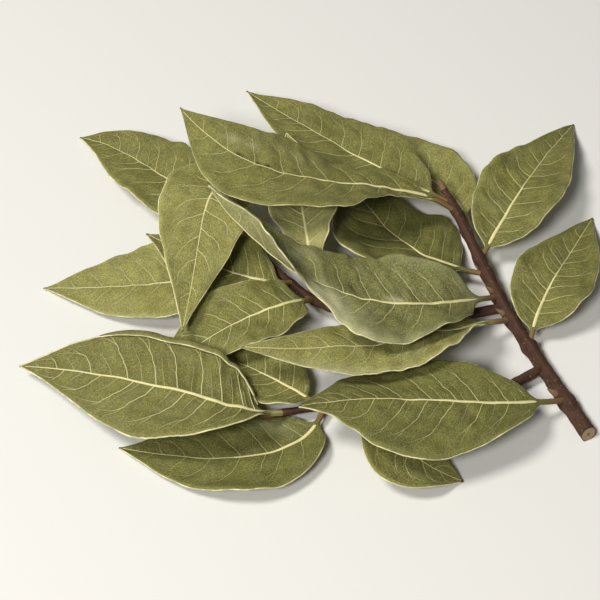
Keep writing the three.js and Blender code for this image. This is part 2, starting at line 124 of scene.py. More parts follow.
# In each row midrib is a curve's four points from the twig to the tip. roll, fold and curl are
# degrees at the base, the middle and the tip. The near_ and far_ rows go along the blade, as a
# share of its length and a value there. Each bloom is a share of the length, a share of the
# half-width, a length, a width and a strength: frosty above 0, a dark speck below it. Some rows
# on leaf_03 and leaf_04 are painted light rather than frost: a painted highlight along a near
# margin, and painted light on a near half that its folds leave in shade. stalk is the stalk's
# share of the curve, belly moves the widest place, detail is the step of the blade's mesh, edge
# is the size of the cream bead, and a turned leaf lies with its underside up.
leaf_rows = {
    "leaf_01": dict(
        midrib=[(72.5, -30.5, 3), (50.5, -43.5, 17), (22.5, -34, 12), (-0.5, -41, 15)],
        width=32, belly=1.05, roll=(-5, 6, 30), fold=(25, -4, 4), curl=(15, -8, 0),
        waves=1.8, phase=1.0, finish="dark", detail=0.45,
        near_width=((0, 1), (0.6, 1.1), (0.7, 1.15), (0.8, 0.92), (0.9, 0.6), (1, 0.8)),
        far_width=((0, 1), (0.6, 0.95), (0.8, 1.3), (0.9, 1), (1, 1)),
    ),
    "leaf_02": dict(
        midrib=[(64, -12.5, 3.5), (65.5, -1, 9), (73.5, 9, 10), (86.5, 36.5, 0.5)],
        width=23, detail=0.6,
    ),
    "leaf_03": dict(
        midrib=[(59.5, -4, 4), (38, -15, 16), (24.5, -22.5, 11.5), (-16.5, -24, 18.5)],
        width=27, belly=0.75, roll=(36, 26, -30), fold=(14, -3, 9), curl=(12, -8, -8),
        waves=1.5, far_phase=0.5, finish="pale", detail=0.45,
        near_width=((0, 0.55), (0.15, 0.6), (0.3, 0.84), (0.5, 0.88), (0.7, 1), (1, 1)),
        # The first two bloom rows paint a highlight along the near margin; the last is frost.
        bloom_and_painted_light=((0.76, 0.98, 11, 2.0, 0.6), (0.3, 1.0, 14, 1.0, 0.45), (0.45, 0.6, 4, 3, 0.2)),
    ),
    "leaf_04": dict(
        midrib=[(56, 3.5, 5), (29, -18.5, 28.5), (3.5, -13, 11.5), (-25.5, 20.5, 33.5)],
        width=33, stalk=0.055, belly=0.86, roll=(-35, 17, 38), fold=(24, 3, 78), curl=(15, 1, 15),
        waves=1.2, phase=2.1, far_phase=3.8, finish="dusty", detail=0.42,
        near_width=((0, 0.5), (0.1, 0.74), (0.2, 0.86), (0.4, 0.9), (0.45, 0.84), (0.5, 0.62),
                    (0.56, 0.46), (0.62, 0.42), (0.71, 0.9), (0.8, 0.97), (1, 1)),
        far_width=((0, 0.6), (0.05, 0.85), (0.1, 1.03), (0.2, 1.08), (0.6, 1.1), (0.7, 1.08), (1, 1)),
        near_lift=((0, 8), (0.14, 20), (0.21, 25), (0.33, 3), (0.43, 1), (0.5, -4), (0.6, -4), (0.7, 12),
                   (0.81, 13), (0.9, 24), (1, 0)),
        far_lift=((0, 0), (0.65, 2), (0.78, -17), (0.85, -18), (0.92, 12), (1, 0)),
        # The near-side rows at 0.58, 0.4 and 0.66 are painted light on the near half and its margin,
        # where the folds leave the blade in shade; the other rows are frost and pale flecks.
        bloom_and_painted_light=((0.58, 0.95, 15, 6, 1.1), (0.4, 1.0, 14, 2.2, 0.6), (0.74, -0.5, 7, 5, 0.55),
               (0.66, 0.6, 12, 4, 1.0),
               (0.05, -0.5, 5, 6, 0.3), (0.2, -1.0, 12, 3, 0.3), (0.35, -0.07, 3, 1.1, 1.0),
               (0.32, -0.05, 1.4, 0.9, 0.8), (0.41, -0.14, 0.7, 0.5, 0.9), (0.36, 0.22, 0.6, 0.5, 0.9)),
    ),
    "leaf_05": dict(
        midrib=[(53, 11, 6), (43.5, 12.5, 6), (25, 19, 5.5), (13, 53, 3.5)],
        width=27, stalk=0.2, roll=(10, 14, 0), finish="dark", detail=0.5, vein_strength=0.55,
        near_width=((0, 1), (0.3, 1.1), (0.6, 1.6), (1, 1.3)),
        far_width=((0, 1.6), (0.2, 1.55), (0.45, 1.3), (0.7, 1.1), (1, 1)),
        far_lift=((0, -20), (0.35, -12), (0.6, -3), (1, 0)),
    ),
    "leaf_06": dict(
        midrib=[(51.5, 16, 6), (57.5, 26, 9.5), (67, 43, 15), (84.5, 74.5, 0.5)],
        width=25, roll=(0, -5, 1), detail=0.6,
    ),
    "leaf_07": dict(
        midrib=[(48.5, 25, 8), (48.5, 48, 4.5), (30, 51, 6.5), (8, 67.5, 8)],
        width=27, roll=(0, 12, 0), finish="pale",
    ),
    "leaf_08": dict(
        midrib=[(43.5, 33.5, 11), (30, 37.5, 15.5), (9, 53, 14.5), (-16.5, 84, 5.5)],
        width=27, roll=(0, 8, 0), detail=0.55,
    ),
    "leaf_09": dict(
        midrib=[(44.5, 31, 10.5), (25.5, 36.5, 25), (-7.5, 12, 29), (-35, 58.5, 24.5)],
        width=30, belly=1.3, roll=(-5, 16, -40), fold=(5, 0, 3), curl=(-5, 0, -10),
        waves=0.8, phase=-1.2, detail=0.42, vein_strength=0.7, edge=0.75,
        bloom_and_painted_light=((0.825, -0.36, 2.6, 1.5, 0.6), (0.762, -0.42, 2.0, 1.9, 0.5), (0.6, -0.6, 9, 3, 0.2),
               (0.775, -0.05, 1.1, 0.45, -1.0), (0.757, -0.04, 0.5, 0.4, -0.8),
               (0.705, -0.035, 0.7, 0.4, -1.2), (0.688, 0.03, 0.5, 0.4, -0.8),
               (0.668, -0.035, 1.0, 0.4, -1.2), (0.625, 0.03, 0.5, 0.4, -0.9),
               (0.59, -0.035, 0.6, 0.35, -0.7)),
        near_width=((0, 0.6), (0.1, 0.4), (0.2, 0.42), (0.3, 0.72), (0.4, 0.98), (0.7, 1.06), (1, 1)),
        far_width=((0, 1.2), (0.1, 1.45), (0.17, 1.4), (0.3, 0.72), (0.4, 0.93), (0.5, 1.04), (1, 1.05)),
    ),
    "leaf_10": dict(
        midrib=[(32.5, -30.5, 3), (22.5, -43, 7), (26, -52.5, 7), (43, -55, 0.5)],
        width=24, stalk=0.12,
    ),
    "leaf_11": dict(
        midrib=[(4.2, -33.2, 4.6), (-3, -28.5, 7.5), (-12, -22.5, 6.5), (-26.5, -13.5, 3)],
        width=24, stalk=0.08, detail=0.5,
        near_width=((0, 1), (0.25, 0.8), (1, 0.7)), far_width=((0, 0.7), (0.3, 0.85), (1, 1)),
    ),
    "leaf_12": dict(
        midrib=[(6.5, -32.5, 3.5), (3.5, -48, -1), (-21, -53, 3.5), (-48.5, -44.5, 0.5)],
        width=27, roll=(0, 6, -1), finish="dark", detail=0.5, vein_strength=0.55,
        bloom_and_painted_light=((0.26, -0.5, 5, 2.6, 0.5), (0.36, -0.62, 3, 1.8, 0.35)),
    ),
    "leaf_13": dict(
        midrib=[(-4.5, -35.5, 4), (-17, -45.5, 16.5), (-36, -30, 14.5), (-77, -20, 4)],
        width=34, belly=1.0, roll=(28, -2, -20), fold=(25, 0, 12), curl=(15, 0, 18),
        waves=1.7, phase=1.7, finish="under", turned=True, detail=0.45, vein_strength=0.95,
        near_width=((0, 0.8), (0.2, 0.72), (0.35, 0.8), (0.6, 1), (1, 1)),
        far_width=((0, 1), (0.15, 1.13), (0.35, 0.94), (0.55, 0.94), (0.75, 1.1), (1, 1)),
        rolled=((0.02, 0), (0.08, 1.9), (0.17, 0.9), (0.3, 1.5), (0.45, 2.2), (0.7, 1.7), (0.85, 0)),
    ),
    "leaf_14": dict(
        midrib=[(8.5, -2.5, 7), (1.5, 3, 16), (2.5, 22, 18.5), (-4, 55, 17.5)],
        width=24, stalk=0.24, finish="pale", turned=True, detail=0.5,
        near_width=((0, 0.35), (0.25, 0.4), (0.37, 0.55), (0.54, 0.84), (0.75, 1), (1, 1)),
        far_width=((0, 0.35), (0.25, 0.4), (0.37, 0.55), (0.54, 0.84), (0.75, 1), (1, 1)),
    ),
    "leaf_15": dict(
        midrib=[(4, 1.5, 6), (-4, -7.5, 17.5), (-19, -10, 12.5), (-38, -22.5, 6)],
        width=27, roll=(0, -4, 0), detail=0.5,
        near_width=((0, 1), (0.12, 0.88), (0.25, 0.72), (0.6, 0.68), (1, 0.8)),
        far_width=((0, 1.5), (0.1, 1.15), (0.3, 0.74), (0.42, 0.74), (0.6, 1), (1, 1.1)),
    ),
    "leaf_16": dict(
        midrib=[(-2.5, 7, 7), (-10.5, 3.5, 10.5), (-24, 9.5, 9.5), (-44, 22, 10.5)],
        width=24,
    ),
    "leaf_17": dict(
        midrib=[(-11, 17.5, 7), (-22.5, 9.5, 6.5), (-45.5, 5.5, 5), (-73.5, 10, 0.5)],
        width=26, roll=(0, -6, 0), finish="pale", detail=0.55, vein_strength=0.7,
    ),
    "leaf_18": dict(
        midrib=[(-14.5, 22.5, 7), (-28, 47.5, 25.5), (-26, 21, 20), (-32, -15.5, 14)],
        width=27, stalk=0.14, belly=0.85, roll=(0, 0, 5), fold=(12, 4, 12), curl=(3, 3, 7),
        waves=1.8, phase=2.3, finish="pale", detail=0.45, vein_strength=1.0,
        near_width=((0, 0.86), (0.5, 0.87), (0.6, 1), (0.7, 0.94), (0.85, 0.88), (1, 0.95)),
    ),
    "leaf_19": dict(
        midrib=[(-15, 26, 7), (-30, 33, 7), (-45, 58, 7), (-67.5, 69, 0.5)],
        width=26, detail=0.6,
    ),
}
leaf_defaults = dict(
    stalk=0.1, belly=0.92, roll=(0, 0, 0), fold=(15, 8, 8), curl=(5, 5, 5), waves=2.3, phase=0.0,
    far_phase=2.0, finish="olive", turned=False, detail=0.7,
    near_width=((0, 1), (1, 1)), far_width=((0, 1), (1, 1)),
    near_lift=((0, 0), (1, 0)), far_lift=((0, 0), (1, 0)), rolled=((0, 0), (1, 0)), bloom_and_painted_light=(),
    vein_strength=0.85, edge=1.2,
)

# Heights and thicknesses in millimetres.
blade_thickness = 0.42
rim_thickness = 0.30
stalk_radius = 0.78
wave_height = 1.0
crisp_height = 0.5
crumple_height = 0.85
small_crumple_height = 0.42
under_roll = 0.28
puff_height = 0.38
vein_radius = 0.115
short_vein_radius = 0.085
# The half-angle of a stalk's upper face, and the share of the half-width where a margin rolls.
stalk_arc = 75.0
roll_start = 0.72
up = np.array([0.0, 0.0, 1.0])
# The map of a blade: millimetres in one unit, those down to its underside, and a leaf's shift.
map_unit = 100.0
map_under = 60.0
map_leaf = 1.37


def unit(vectors):
    return vectors / np.linalg.norm(vectors, axis=-1, keepdims=True)


def smooth(values):
    x = np.clip(values, 0.0, 1.0)
    return x * x * (3.0 - 2.0 * x)


def through_three(values, u):
    base, centre, tip = values
    return base * (1 - u) * (1 - 2 * u) + centre * 4 * u * (1 - u) + tip * u * (2 * u - 1)


def midrib_point(leaf, t):
    p = leaf["points"]
    t = t[..., None]
    s = 1 - t
    return s**3 * p[0] + 3 * s * s * t * p[1] + 3 * s * t * t * p[2] + t**3 * p[3]


def midrib_slope(leaf, t):
    p = leaf["points"]
    t = t[..., None]
    s = 1 - t
    return unit(s * s * (p[1] - p[0]) + 2 * s * t * (p[2] - p[1]) + t * t * (p[3] - p[2]))


def blade_share(leaf, t):
    return np.clip((t - leaf["stalk"]) / (1 - leaf["stalk"]), 0.0, 1.0)


def curve_share(leaf, u):
    return leaf["stalk"] + (1 - leaf["stalk"]) * u


def eased(rows, u):
    """A value that goes smoothly from each row's value to the next one's."""
    total = np.full(np.shape(u), float(rows[0][1]))
    for (start, before), (end, after) in zip(rows, rows[1:]):
        total = total + (after - before) * smooth((u - start) / (end - start))
    return total


def two_sided(leaf, kind, u, distance):
    near = eased(leaf["near_" + kind], u)
    far = eased(leaf["far_" + kind], u)
    return np.where(distance > 0, near, far)


def half_width(leaf, u, side):
    """Half-width of the blade on its near side (1) or its far side (-1)."""
    inside = np.clip(u, 1e-6, 1 - 1e-6)
    even = leaf["width"] / 2 * np.sin(np.pi * inside ** leaf["belly"]) ** (0.8 + 0.25 * u)
    return even * two_sided(leaf, "width", u, side)


def ripple(leaf, x, y, seed):
    """A soft random relief, a sum of a few waves whose directions depend on the leaf."""
    draw = np.random.default_rng(leaf["number"] * 10 + seed)
    total = 0.0
    for _ in range(5):
        turn = draw.uniform(0, 2 * np.pi)
        pace = draw.uniform(0.6, 1.5)
        total = total + np.sin(pace * (x * np.cos(turn) + y * np.sin(turn)) + draw.uniform(0, 6.3))
    return total / 5


def rolled_edge(leaf, u, distance):
    """Where a far margin has rolled over onto the face: the way out and the height it has there."""
    hw = np.maximum(half_width(leaf, u, distance), 0.3)
    strip = np.where(distance > 0, 0.0, eased(leaf["rolled"], u))
    q = np.abs(distance) / hw
    turned = np.maximum((q - roll_start) / (1 - roll_start), 0.0)
    arc = np.pi * np.minimum(turned / 0.5, 1.0)
    flat = np.maximum(turned - 0.5, 0.0) / 0.5
    out = hw - 0.4 * strip * (1 - np.sin(arc)) - 0.6 * strip * flat
    out = np.where(q < roll_start, q / roll_start * (hw - 0.4 * strip), out)
    share = smooth(strip / 0.5)
    height = share * (0.30 + 0.10 * strip) * (1 - np.cos(arc))
    return (1 - share) * np.abs(distance) + share * out, height


def cross_frame(leaf, t):
    along = midrib_slope(leaf, t)
    side = unit(np.cross(up, along))
    normal = np.cross(along, side)
    roll = np.radians(through_three(leaf["roll"], blade_share(leaf, t)))[..., None]
    across = np.cos(roll) * side + np.sin(roll) * normal
    outward = np.cos(roll) * normal - np.sin(roll) * side
    return across, outward


def blade_point(leaf, t, distance):
    """Middle of the blade, t along the midrib from the twig and a distance in mm to its side."""
    u = blade_share(leaf, t)
    across, outward = cross_frame(leaf, t)
    aside, over = rolled_edge(leaf, u, distance)
    distance = np.where(distance > 0, aside, -aside)
    q = np.minimum(aside / np.maximum(half_width(leaf, u, distance), 0.3), 1.5)
    opened = smooth(u / 0.12)
    fold = np.radians(through_three(leaf["fold"], u)) * opened
    curl = np.radians(through_three(leaf["curl"], u)) * opened
    lifted = np.radians(two_sided(leaf, "lift", u, distance)) * opened
    angle = fold + curl * q / 2 + lifted
    phase = leaf["phase"] + np.where(distance < 0, leaf["far_phase"], 0.0)
    reach = np.sin(np.pi * u) ** 0.6
    wave = wave_height * reach * q**1.7 * np.sin(2 * np.pi * leaf["waves"] * u + phase)
    length = leaf["length"]
    crisp = crisp_height * q**3 * ripple(leaf, u * length / 1.2, np.sign(distance) * 2.0, 1)
    crumple = crumple_height * ripple(leaf, u * length / 3.0, distance / 2.6, 2)
    crumple = crumple + small_crumple_height * ripple(leaf, u * length / 1.3, distance / 1.1, 4)
    rolled_under = under_roll * smooth((q - 0.93) / 0.07) * reach
    lift = np.abs(distance) * np.sin(angle) + wave + reach * (crisp + crumple) - rolled_under + over
    side = (distance * np.cos(angle))[..., None]
    return midrib_point(leaf, t) + across * side + outward * lift[..., None]


def blade_normal(leaf, t, distance):
    ahead = blade_point(leaf, np.minimum(t + 0.001, 1.0), distance)
    behind = blade_point(leaf, np.maximum(t - 0.001, 0.0), distance)
    left = blade_point(leaf, t, distance + 0.01)
    right = blade_point(leaf, t, distance - 0.01)
    return unit(np.cross(ahead - behind, left - right))


def face_way(leaf, t, distance):
    """How the upper face lies over the middle: straight out near the midrib, so that the two sides
    of a sharp fold never cross, and square to the sheet on a rolled margin."""
    normal = blade_normal(leaf, t, distance)
    _, outward = cross_frame(leaf, t)
    straight = outward / np.maximum((outward * normal).sum(-1), 0.3)[..., None]
    u = blade_share(leaf, t)
    q = -distance / np.maximum(half_width(leaf, u, distance), 0.3)
    square = smooth((q - 0.5) / 0.15) * smooth(eased(leaf["rolled"], u) / 0.2)
    return straight * (1 - square[..., None]) + normal * square[..., None], normal


def edge_distance(leaf, u, side):
    """Half-width with the slight unevenness of a real margin."""
    uneven = 0.35 * ripple(leaf, u * leaf["length"] / 1.8, side * 3.0 + u * 0.0, 3)
    nibbled = 0.14 * ripple(leaf, u * leaf["length"] / 0.32, side * 3.0 + u * 0.0, 5)
    return half_width(leaf, u, side) + (uneven + nibbled) * np.sin(np.pi * u)


def side_veins(leaf):
    """Side veins as lists of rows (u, distance, radius, tone). They arch to the tip and fork."""
    draw = np.random.default_rng(leaf["number"])
    length = leaf["length"]
    count = int(round(length / (3.5 + 0.06 * length)))
    spacing = length / (count + 0.8)
    veins = []
    for side in (-1, 1):
        offset = draw.uniform(0.35, 0.75)
        for k in range(count):
            start = (k + offset + draw.uniform(-0.16, 0.16)) * spacing
            u_start = start / length
            if u_start > 0.93:
                continue
            wide = float(half_width(leaf, np.array(u_start + 0.04), side))
            lean = draw.uniform(0.5, 0.68) * (1.15 - 0.35 * (1 - u_start))
            bend = draw.uniform(0.22, 0.4)
            fork = draw.uniform(0.46, 0.64)
            wiggle = draw.uniform(0, 6.3)
            thick = vein_radius * (0.7 + 0.3 * np.sin(np.pi * min(u_start + 0.15, 1.0)))

            def place(q, shift=0.0):
                s = start + wide * (lean * q + bend * q**3) + shift
                bent = 0.28 * np.sin(3.6 * q * wide / 5 + wiggle)
                bent = bent + 0.12 * np.sin(2.4 * q * wide + 3 * wiggle)
                s = s + bent * np.minimum(q * 3, 1)
                u = np.clip(s / length, 0.0, 0.985)
                return u, side * q * half_width(leaf, u, side)

            q = np.linspace(0.0, fork, max(5, int(wide * fork / 0.7)))
            u, d = place(q)
            strength = leaf["vein_strength"]
            veins.append(np.stack([u, d, thick * (1 - 0.62 * q), strength * (0.95 - 0.25 * q)], -1))
            for reach, end in ((0.62, 0.86), (-0.12, 0.9)):
                q = np.linspace(fork, end * draw.uniform(0.93, 1.03), 9)
                part = (q - fork) / (end - fork)
                u, d = place(q, spacing * reach * part**1.4 * draw.uniform(0.7, 1.0))
                fade = thick * (1 - 0.62 * fork) * (1 - 0.72 * part)
                veins.append(np.stack([u, d, fade, strength * (0.70 - 0.34 * part)], -1))
            q = np.linspace(0.0, draw.uniform(0.3, 0.55), 8)
            u, d = place(q, spacing * draw.uniform(0.42, 0.58))
            thin = short_vein_radius * (1.1 - q)
            veins.append(np.stack([u, d, thin, strength * (0.42 - 0.3 * q)], -1))
    return veins


def vein_distance(leaf, t, distance):
    """Distance in mm from points of the blade to the nearest side vein or the midrib."""
    u = blade_share(leaf, t)
    s = u * leaf["length"]
    nearest = np.abs(distance)
    rows = np.concatenate([v for v in leaf["veins"] if v[0, 2] > 0.04 and v[0, 3] > 0.3])
    for row in rows:
        apart = np.hypot(s - row[0] * leaf["length"], distance - row[1])
        nearest = np.minimum(nearest, apart)
    return nearest


def grid_faces(rows, columns):
    """Quads of a closed shell made of an upper and a lower grid with the same outline."""
    index = np.arange(rows * columns).reshape(rows, columns)
    low = index + rows * columns
    a, b, c, d = index[:-1, :-1], index[:-1, 1:], index[1:, 1:], index[1:, :-1]
    quads = [np.stack([a, b, c, d], -1).reshape(-1, 4)]
    a, b, c, d = low[:-1, :-1], low[1:, :-1], low[1:, 1:], low[:-1, 1:]
    quads.append(np.stack([a, b, c, d], -1).reshape(-1, 4))
    for top, bottom in (
        (index[:, 0], low[:, 0]),
        (index[-1, :], low[-1, :]),
        (index[::-1, -1], low[::-1, -1]),
        (index[0, ::-1], low[0, ::-1]),
    ):
        quads.append(np.stack([top[:-1], top[1:], bottom[1:], bottom[:-1]], -1))
    return np.concatenate(quads)


def new_piece(name, points, faces=(), edges=()):
    mesh = bpy.data.meshes.new(name)
    mesh.from_pydata(points.tolist(), edges, [list(face) for face in faces])
    mesh.update()
    return in_room(name, mesh)


def point_values(mesh, name, values):
    attribute = mesh.attributes.new(name, "FLOAT", "POINT")
    attribute.data.foreach_set("value", np.ascontiguousarray(values, np.float32).ravel())


def blade_stations(leaf):
    stalk = leaf["stalk"]
    steps = int(leaf["length"] / leaf["detail"])
    return np.concatenate([np.linspace(0, stalk, 15)[:-1], np.linspace(stalk, 1, steps + 1)])


def blade_piece(name, leaf):
    t = blade_stations(leaf)
    u = blade_share(leaf, t)
    columns = 2 * int(leaf["width"] / leaf["detail"] / 2) + 1
    q = np.linspace(-1, 1, columns)
    opened = smooth(u / 0.1)[:, None]
    left = np.maximum(edge_distance(leaf, u, -1), 0.25)[:, None]
    right = np.maximum(edge_distance(leaf, u, 1), 0.25)[:, None]
    reach = np.where(q < 0, left, right)
    arc = np.radians(stalk_arc * q)
    distance = (1 - opened) * stalk_radius * np.sin(arc) + opened * reach * q
    t = np.repeat(t[:, None], columns, 1)
    near = vein_distance(leaf, t, distance)
    puff = puff_height * (1 - np.exp(-((near / 2.0) ** 2)))
    puff = puff * smooth(u / 0.08)[:, None] * (1 - np.abs(q) ** 6)
    sign = -1 if leaf["turned"] else 1
    edge = smooth((np.abs(q) - 0.8) / 0.2)
    half = (blade_thickness * (1 - edge) + rim_thickness * edge) / 2
    rounded = (1 - opened) * stalk_radius * np.cos(arc)
    above = rounded + opened * (half + sign * puff)
    below = rounded + opened * (half - sign * puff)
    centre = blade_point(leaf, t, distance)
    way, normal = face_way(leaf, t, distance)
    upper = centre + way * above[..., None]
    lower = centre - normal * below[..., None]
    rows = t.shape[0]
    points = np.concatenate([upper.reshape(-1, 3), lower.reshape(-1, 3)]) * MM
    piece = new_piece(name, points, grid_faces(rows, columns))
    mesh = piece.data
    mesh.shade_smooth()
    flat = np.stack([blade_share(leaf, t) * leaf["length"], distance], -1).reshape(-1, 2)
    flat = np.concatenate([flat, flat + (0.0, map_under)]) / map_unit + (leaf["number"] * map_leaf, 0.5)
    corner = np.empty(len(mesh.loops), np.int32)
    mesh.loops.foreach_get("vertex_index", corner)
    layer = mesh.uv_layers.new(name="blade")
    layer.data.foreach_set("uv", flat[corner].astype(np.float32).ravel())
    point_values(mesh, "near_vein", np.tile(near.ravel(), 2))
    point_values(mesh, "rim", np.tile(np.abs(q), rows * 2))
    point_values(mesh, "stalk", np.tile((1 - smooth((t - 0.6 * leaf["stalk"]) * 14)).ravel(), 2))
    # Bloom rows: soft ovals of frost, of painted light where a near half lies in shade, and below 0 dark
    # specks.
    bloom_and_painted_light = np.zeros_like(near)
    for at, aside, long, wide, strength in leaf["bloom_and_painted_light"]:
        apart_along = (blade_share(leaf, t) - at) * leaf["length"]
        apart_across = distance - aside * half_width(leaf, blade_share(leaf, t), aside)
        bloom_and_painted_light += strength * np.exp(-((apart_along / long) ** 2) - (apart_across / wide) ** 2)
    point_values(mesh, "bloom_and_painted_light", np.tile(bloom_and_painted_light.ravel(), 2))
    hidden = np.full(rows * columns, 1.0 if leaf["turned"] else 0.0)
    point_values(mesh, "under", np.concatenate([hidden, 1 - hidden]))
    return piece


def add_node(tree, kind, inputs=None, **settings):
    """A node with its settings and inputs; an input may be a value or another node's output."""
    made = tree.nodes.new(kind)
    for key, value in settings.items():
        setattr(made, key, value)
    for key, value in (inputs or {}).items():
        if isinstance(value, bpy.types.NodeSocket):
            tree.links.new(value, made.inputs[key])
        else:
            made.inputs[key].default_value = value
    return made


def attribute(tree, name):
    return add_node(tree, "ShaderNodeAttribute", attribute_name=name).outputs["Fac"]


def object_place(tree):
    return add_node(tree, "ShaderNodeTexCoord").outputs["Object"]


def stretched(tree, vector, *scale):
    return add_node(tree, "ShaderNodeMapping", {"Vector": vector, "Scale": scale}).outputs["Vector"]


def in_millimetres(tree):
    return stretched(tree, object_place(tree), 1 / MM, 1 / MM, 1 / MM)


def reckoned(tree, operation, first, second=0.5, clamp=False):
    made = add_node(tree, "ShaderNodeMath", {0: first, 1: second}, operation=operation)
    made.use_clamp = clamp
    return made.outputs[0]


def times(tree, first, second):
    return reckoned(tree, "MULTIPLY", first, second)


def ramp(tree, value, low, high, start=0.0, end=1.0):
    made = add_node(tree, "ShaderNodeMapRange", {"Value": value, "From Min": low, "From Max": high})
    made.inputs["To Min"].default_value = start
    made.inputs["To Max"].default_value = end
    return made.outputs["Result"]


def blend_colour(tree, factor, first, second, mode="MIX"):
    made = tree.nodes.new("ShaderNodeMix")
    made.data_type = "RGBA"
    made.blend_type = mode
    for key, value in ((0, factor), (6, first), (7, second)):
        if isinstance(value, bpy.types.NodeSocket):
            tree.links.new(value, made.inputs[key])
        elif key == 0:
            made.inputs[key].default_value = value
        else:
            made.inputs[key].default_value = (*value, 1.0)
    return made.outputs[2]


def layered(tree, colour, *layers):
    """A colour with more laid over it, each with its share and its tint."""
    for share, tint in layers:
        colour = blend_colour(tree, share, colour, tint)
    return colour


def noise(tree, vector, scale, detail=2.0, roughness=0.5):
    made = add_node(
        tree,
        "ShaderNodeTexNoise",
        {"Vector": vector, "Scale": scale, "Detail": detail, "Roughness": roughness},
    )
    return made.outputs["Fac"]


def leaf_finish(name, upper, upper_dark, under, dust, stalk):
    """Matte leathery skin: mottled green, faint net of fine veins, grain, dust and brown specks,
    with painted shade beside the veins and painted light where a leaf's bloom rows put it.
    """
    material, tree, shader = surface(name, gloss=0.2)
    blade = add_node(tree, "ShaderNodeUVMap", uv_map="blade").outputs["UV"]
    millimetres = in_millimetres(tree)
    flat = stretched(tree, blade, map_unit, map_unit, 1.0)
    broad = noise(tree, millimetres, 0.10, 3.0, 0.6)
    patch = noise(tree, millimetres, 0.30, 1.0, 0.5)
    grain = noise(tree, millimetres, 3.4, 2.0, 0.6)
    fine = noise(tree, millimetres, 6.0, 2.0, 0.6)
    film = noise(tree, millimetres, 0.16, 2.0, 0.6)

    drift = add_node(tree, "ShaderNodeTexNoise", {"Vector": flat, "Scale": 0.8}).outputs["Color"]
    warped = add_node(tree, "ShaderNodeVectorMath", {0: flat, 1: drift}, operation="ADD").outputs[0]
    lines = []
    for scale, randomness, line_width in ((0.75, 0.9, 0.11), (2.1, 1.0, 0.16)):
        net = add_node(
            tree,
            "ShaderNodeTexVoronoi",
            {"Vector": warped, "Scale": scale, "Randomness": randomness},
            feature="DISTANCE_TO_EDGE",
        )
        lines.append(ramp(tree, net.outputs["Distance"], 0.0, line_width, 1.0, 0.0))
    net_line, small_line = lines

    top = blend_colour(tree, ramp(tree, broad, 0.35, 0.65), upper_dark, upper)
    bottom = blend_colour(tree, ramp(tree, broad, 0.3, 0.7), under, [c * 0.8 for c in under])
    colour = blend_colour(tree, attribute(tree, "under"), top, bottom)
    grey_green = [part * share for part, share in zip(upper, (0.97, 1.03, 1.35))]
    light = [part * 1.55 + more for part, more in zip(upper, (0.055, 0.055, 0.035))]
    colour = layered(
        tree,
        colour,
        (ramp(tree, film, 0.4, 0.65, 0.0, 0.6), grey_green),
        (times(tree, small_line, 0.24), light),
        (times(tree, net_line, 0.30), light),
        (ramp(tree, grain, 0.5, 0.75, 0.0, 0.6), light),
    )
    shade = ramp(tree, patch, 0.3, 0.7, 0.9, 1.1)
    shade = times(tree, shade, ramp(tree, grain, 0.3, 0.6, 0.62, 1.12))
    shade = times(tree, shade, ramp(tree, fine, 0.3, 0.7, 0.72, 1.28))
    # Painted shade: the blade darkens within 1.5 mm of each vein and the midrib, as the shadow beside a
    # raised vein.
    shade = times(tree, shade, ramp(tree, attribute(tree, "near_vein"), 0.1, 1.5, 0.86, 1.0))
    colour = blend_colour(tree, 1.0, colour, shade, "MULTIPLY")
    margin = ramp(tree, attribute(tree, "rim"), 0.90, 1.0, 0.0, 0.35)
    dust_fleck = ramp(tree, noise(tree, millimetres, 3.0, 2.0, 0.6), 0.56, 0.66, 0.0, dust)
    # The bloom attribute, broken by the grain, is laid on in the pale dust tint: mostly frost, and
    # painted light where a leaf's rows stand in for light on a shaded near half or margin.
    broken = times(tree, ramp(tree, grain, 0.3, 0.6, 0.5, 1.0), ramp(tree, fine, 0.25, 0.6, 0.6, 1.0))
    broken_frost_and_painted_light = times(tree, attribute(tree, "bloom_and_painted_light"), broken)
    dusty = reckoned(tree, "MAXIMUM", dust_fleck, broken_frost_and_painted_light, clamp=True)
    dark_speck = reckoned(tree, "MULTIPLY", attribute(tree, "bloom_and_painted_light"), -1.0, clamp=True)
    brown_spot = ramp(tree, noise(tree, millimetres, 0.9, 1.0, 0.4), 0.74, 0.80, 0.0, 0.5)
    colour = layered(
        tree,
        colour,
        (margin, light),
        (dusty, (0.46, 0.45, 0.25)),
        (dark_speck, (0.030, 0.024, 0.012)),
        (brown_spot, (0.12, 0.07, 0.02)),
        (attribute(tree, "stalk"), stalk),
    )
    tree.links.new(colour, shader.inputs["Base Color"])
    tree.links.new(ramp(tree, grain, 0.3, 0.7, 0.55, 0.72), shader.inputs["Roughness"])
    height = times(tree, grain, 0.11)
    for layer, share in ((fine, 0.05), (net_line, 0.05), (small_line, 0.03)):
        height = reckoned(tree, "ADD", height, times(tree, layer, share))
    bump = add_node(tree, "ShaderNodeBump", {"Height": height, "Strength": 1.0, "Distance": 0.001})
    tree.links.new(bump.outputs["Normal"], shader.inputs["Normal"])
    return material


